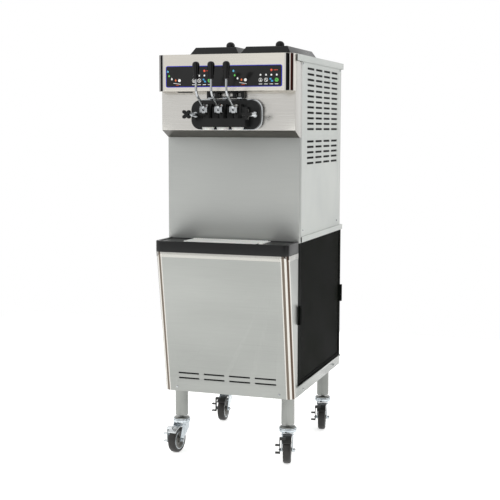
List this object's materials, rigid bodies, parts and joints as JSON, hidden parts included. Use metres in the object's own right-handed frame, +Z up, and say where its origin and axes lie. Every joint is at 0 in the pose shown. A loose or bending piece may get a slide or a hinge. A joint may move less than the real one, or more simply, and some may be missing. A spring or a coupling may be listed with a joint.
{
  "type": "soft serve ice cream machine",
  "caption": "Floor-standing soft-serve machine on braked swivel casters with lidded hoppers, draw levers, a drip tray and pull-out side air filters.",
  "frame": {"origin": "on the floor, at the centre of the machine's outline", "axes": "+Z up; the front with the levers faces -Y; +X is to the right of someone facing the front"},
  "size_m": [0.5386, 0.8815, 1.599],
  "materials": {
    "satin_steel": "brushed satin",
    "side_paint": "satin powder coat",
    "rail_steel": "satin",
    "frame_steel": "zinc plated",
    "filter_plastic": "matt black mesh",
    "overlay_film": "printed film",
    "tank_steel": "polished inside",
    "white_plastic": "satin moulded",
    "black_plastic": "satin moulded",
    "grip_plastic": "gloss moulded",
    "polished_steel": "polished",
    "cast_alloy": "as cast",
    "fan_plastic": "moulded",
    "caster_zinc": "bright zinc",
    "caster_tyre": "moulded rubber",
    "brake_steel": "bright zinc",
    "brake_black": "black paint"
  },
  "bodies": {
    "cabinet": {"lower_front_panel": "satin_steel", "neck_panel": "satin_steel", "dispense_panel": "satin_steel", "head_fascia": "satin_steel", "upper_side_panel_left": "side_paint", "upper_side_panel_right": "side_paint", "top_deck": "side_paint", "waist_shelf": "side_paint", "rear_panels": "side_paint", "side_frames": "rail_steel", "legs": "rail_steel", "base_frame": "frame_steel", "fan_shroud": "frame_steel", "control_box": "frame_steel", "compressors": "frame_steel", "control_overlay": "overlay_film", "hopper_tanks": "tank_steel", "freezing_barrels": "tank_steel", "feed_tubes": "white_plastic", "spout_caps": "white_plastic", "freezer_door": "black_plastic", "draw_switches": "black_plastic", "drip_shelf": "black_plastic", "door_trim_plate": "polished_steel", "door_hardware": "polished_steel", "panel_screws": "polished_steel", "gearmotors": "cast_alloy", "condenser": "cast_alloy"},
    "lever_left": {"draw_lever_left": "polished_steel", "lever_grip_left": "grip_plastic"},
    "piston_left": {"draw_piston_left": "white_plastic"},
    "lever_centre": {"draw_lever_centre": "polished_steel", "lever_grip_centre": "grip_plastic"},
    "piston_centre": {"draw_piston_centre": "white_plastic"},
    "lever_right": {"draw_lever_right": "polished_steel", "lever_grip_right": "grip_plastic"},
    "piston_right": {"draw_piston_right": "white_plastic"},
    "knob_left": {"star_knob_left": "grip_plastic"},
    "lid_left": {"hopper_lid_left": "black_plastic"},
    "filter_left": {"air_filter_left": "filter_plastic"},
    "beater_left": {"beater_left": "tank_steel"},
    "knob_right": {"star_knob_right": "grip_plastic"},
    "lid_right": {"hopper_lid_right": "black_plastic"},
    "filter_right": {"air_filter_right": "filter_plastic"},
    "beater_right": {"beater_right": "tank_steel"},
    "pan": {"drip_pan": "black_plastic"},
    "grid": {"drip_grid": "white_plastic"},
    "fan": {"fan_blade": "fan_plastic"},
    "caster_front_left": {"caster_fork_front_left": "caster_zinc"},
    "wheel_front_left": {"caster_wheel_front_left": "caster_tyre"},
    "brake_front_left": {"caster_brake_front_left": "brake_steel"},
    "caster_front_right": {"caster_fork_front_right": "caster_zinc"},
    "wheel_front_right": {"caster_wheel_front_right": "caster_tyre"},
    "brake_front_right": {"caster_brake_front_right": "brake_black"},
    "caster_rear_left": {"caster_fork_rear_left": "caster_zinc"},
    "wheel_rear_left": {"caster_wheel_rear_left": "caster_tyre"},
    "brake_rear_left": {"caster_brake_rear_left": "brake_black"},
    "caster_rear_right": {"caster_fork_rear_right": "caster_zinc"},
    "wheel_rear_right": {"caster_wheel_rear_right": "caster_tyre"},
    "brake_rear_right": {"caster_brake_rear_right": "brake_black"}
  },
  "joints": [
    {"name": "lever_left_pull", "type": "hinge", "parent": "cabinet", "child": "lever_left", "pos_m": [-0.057, -0.34, 1.322], "axis": [1, 0, 0], "range_deg": [0, 60]},
    {"name": "piston_left_lift", "type": "slide", "parent": "cabinet", "child": "piston_left", "axis": [0, 0, 1], "range_m": [0, 0.0235]},
    {"name": "lever_centre_pull", "type": "hinge", "parent": "cabinet", "child": "lever_centre", "pos_m": [0, -0.34, 1.322], "axis": [1, 0, 0], "range_deg": [0, 60]},
    {"name": "piston_centre_lift", "type": "slide", "parent": "cabinet", "child": "piston_centre", "axis": [0, 0, 1], "range_m": [0, 0.0235]},
    {"name": "lever_right_pull", "type": "hinge", "parent": "cabinet", "child": "lever_right", "pos_m": [0.057, -0.34, 1.322], "axis": [1, 0, 0], "range_deg": [0, 60]},
    {"name": "piston_right_lift", "type": "slide", "parent": "cabinet", "child": "piston_right", "axis": [0, 0, 1], "range_m": [0, 0.0235]},
    {"name": "knob_left_turn", "type": "hinge", "parent": "cabinet", "child": "knob_left", "pos_m": [-0.115, -0.349, 1.302], "axis": [0, 1, 0], "continuous": true},
    {"name": "lid_left_lift", "type": "slide", "parent": "cabinet", "child": "lid_left", "axis": [0, 0, 1], "range_m": [0, 0.15]},
    {"name": "filter_left_pull", "type": "slide", "parent": "cabinet", "child": "filter_left", "axis": [-1, 0, 0], "range_m": [0, 0.12]},
    {"name": "beater_left_turn", "type": "hinge", "parent": "cabinet", "child": "beater_left", "pos_m": [-0.062, -0.099, 1.302], "axis": [0, 1, 0], "continuous": true},
    {"name": "knob_right_turn", "type": "hinge", "parent": "cabinet", "child": "knob_right", "pos_m": [0.115, -0.349, 1.302], "axis": [0, 1, 0], "continuous": true},
    {"name": "lid_right_lift", "type": "slide", "parent": "cabinet", "child": "lid_right", "axis": [0, 0, 1], "range_m": [0, 0.15]},
    {"name": "filter_right_pull", "type": "slide", "parent": "cabinet", "child": "filter_right", "axis": [1, 0, 0], "range_m": [0, 0.12]},
    {"name": "beater_right_turn", "type": "hinge", "parent": "cabinet", "child": "beater_right", "pos_m": [0.062, -0.099, 1.302], "axis": [0, 1, 0], "continuous": true},
    {"name": "pan_lift", "type": "slide", "parent": "cabinet", "child": "pan", "axis": [0, 0, 1], "range_m": [0, 0.08]},
    {"name": "grid_lift", "type": "slide", "parent": "pan", "child": "grid", "axis": [0, 0, 1], "range_m": [0, 0.06]},
    {"name": "fan_turn", "type": "hinge", "parent": "cabinet", "child": "fan", "pos_m": [0.15, 0.116, 0.456], "axis": [1, 0, 0], "continuous": true},
    {"name": "caster_front_left_swivel", "type": "hinge", "parent": "cabinet", "child": "caster_front_left", "pos_m": [-0.2165, -0.182, 0.127], "axis": [0, 0, 1], "continuous": true},
    {"name": "wheel_front_left_roll", "type": "hinge", "parent": "caster_front_left", "child": "wheel_front_left", "pos_m": [-0.22089, -0.22377, 0.05], "axis": [0.9945, -0.1045, 0], "continuous": true},
    {"name": "brake_front_left_release", "type": "hinge", "parent": "caster_front_left", "child": "brake_front_left", "pos_m": [-0.21796, -0.19592, 0.102], "axis": [-0.9945, 0.1045, 0], "range_deg": [0, 10]},
    {"name": "caster_front_right_swivel", "type": "hinge", "parent": "cabinet", "child": "caster_front_right", "pos_m": [0.2165, -0.182, 0.127], "axis": [0, 0, 1], "continuous": true},
    {"name": "wheel_front_right_roll", "type": "hinge", "parent": "caster_front_right", "child": "wheel_front_right", "pos_m": [0.22666, -0.22275, 0.05], "axis": [0.9703, 0.2419, 0], "continuous": true},
    {"name": "brake_front_right_release", "type": "hinge", "parent": "caster_front_right", "child": "brake_front_right", "pos_m": [0.21989, -0.19558, 0.102], "axis": [-0.9703, -0.2419, 0], "range_deg": [0, 10]},
    {"name": "caster_rear_left_swivel", "type": "hinge", "parent": "cabinet", "child": "caster_rear_left", "pos_m": [-0.2165, 0.325, 0.127], "axis": [0, 0, 1], "continuous": true},
    {"name": "wheel_rear_left_roll", "type": "hinge", "parent": "caster_rear_left", "child": "wheel_rear_left", "pos_m": [-0.21357, 0.2831, 0.05], "axis": [0.9976, 0.0698, 0], "continuous": true},
    {"name": "brake_rear_left_release", "type": "hinge", "parent": "caster_rear_left", "child": "brake_rear_left", "pos_m": [-0.21552, 0.31103, 0.102], "axis": [-0.9976, -0.0698, 0], "range_deg": [0, 10]},
    {"name": "caster_rear_right_swivel", "type": "hinge", "parent": "cabinet", "child": "caster_rear_right", "pos_m": [0.2165, 0.325, 0.127], "axis": [0, 0, 1], "continuous": true},
    {"name": "wheel_rear_right_roll", "type": "hinge", "parent": "caster_rear_right", "child": "wheel_rear_right", "pos_m": [0.22523, 0.28392, 0.05], "axis": [0.9781, 0.2079, 0], "continuous": true},
    {"name": "brake_rear_right_release", "type": "hinge", "parent": "caster_rear_right", "child": "brake_rear_right", "pos_m": [0.21941, 0.31131, 0.102], "axis": [-0.9781, -0.2079, 0], "range_deg": [0, 10]}
  ],
  "couplings": [
    {"joint": "piston_left_lift", "follows": "lever_left_pull", "m_per_rad": 0.022},
    {"joint": "piston_centre_lift", "follows": "lever_centre_pull", "m_per_rad": 0.022},
    {"joint": "piston_right_lift", "follows": "lever_right_pull", "m_per_rad": 0.022}
  ]
}
